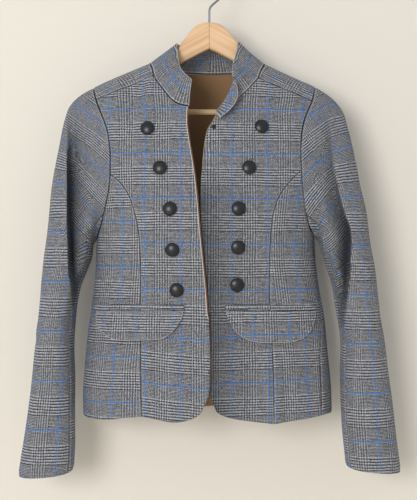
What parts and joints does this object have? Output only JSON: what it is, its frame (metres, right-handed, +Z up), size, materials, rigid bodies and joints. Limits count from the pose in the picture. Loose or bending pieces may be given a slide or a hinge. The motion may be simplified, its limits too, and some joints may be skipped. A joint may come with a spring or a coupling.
{
  "type": "blazer on a wooden trouser hanger",
  "caption": "Short check blazer with a stand collar and edge-to-edge fronts, hung by its shoulders on a wooden hanger with a trouser bar and a wire hook.",
  "frame": {"origin": "inner top of the hanger's hook, where a rail carries it", "axes": "+Z up, the fronts face -Y, the wearer's left is +X"},
  "size_m": [0.6006, 0.1718, 0.7904],
  "materials": {
    "check_cloth": "soft wool check in charcoal and pale grey with a fine blue line, brown on its reverse",
    "button_black": "domed black button with a soft shine",
    "hanger_wood": "clear satin lacquer on pale beech",
    "hook_wire": "polished wire"
  },
  "bodies": {
    "root": {"front_right": "check_cloth", "front_left": "check_cloth", "side_front_right": "check_cloth", "side_front_left": "check_cloth", "back": "check_cloth", "collar": "check_cloth", "top_sleeve_right": "check_cloth", "top_sleeve_left": "check_cloth", "under_sleeve_right": "check_cloth", "under_sleeve_left": "check_cloth", "flap_right": "check_cloth", "flap_left": "check_cloth", "welt_right": "check_cloth", "welt_left": "check_cloth", "button_right_1": "button_black", "button_right_2": "button_black", "button_right_3": "button_black", "button_right_4": "button_black", "button_right_5": "button_black", "button_left_1": "button_black", "button_left_2": "button_black", "button_left_3": "button_black", "button_left_4": "button_black", "button_left_5": "button_black", "neck_snap": "button_black", "hanger_wood": "hanger_wood", "hanger_bar": "hanger_wood", "hanger_hook": "hook_wire"}
  },
  "joints": []
}
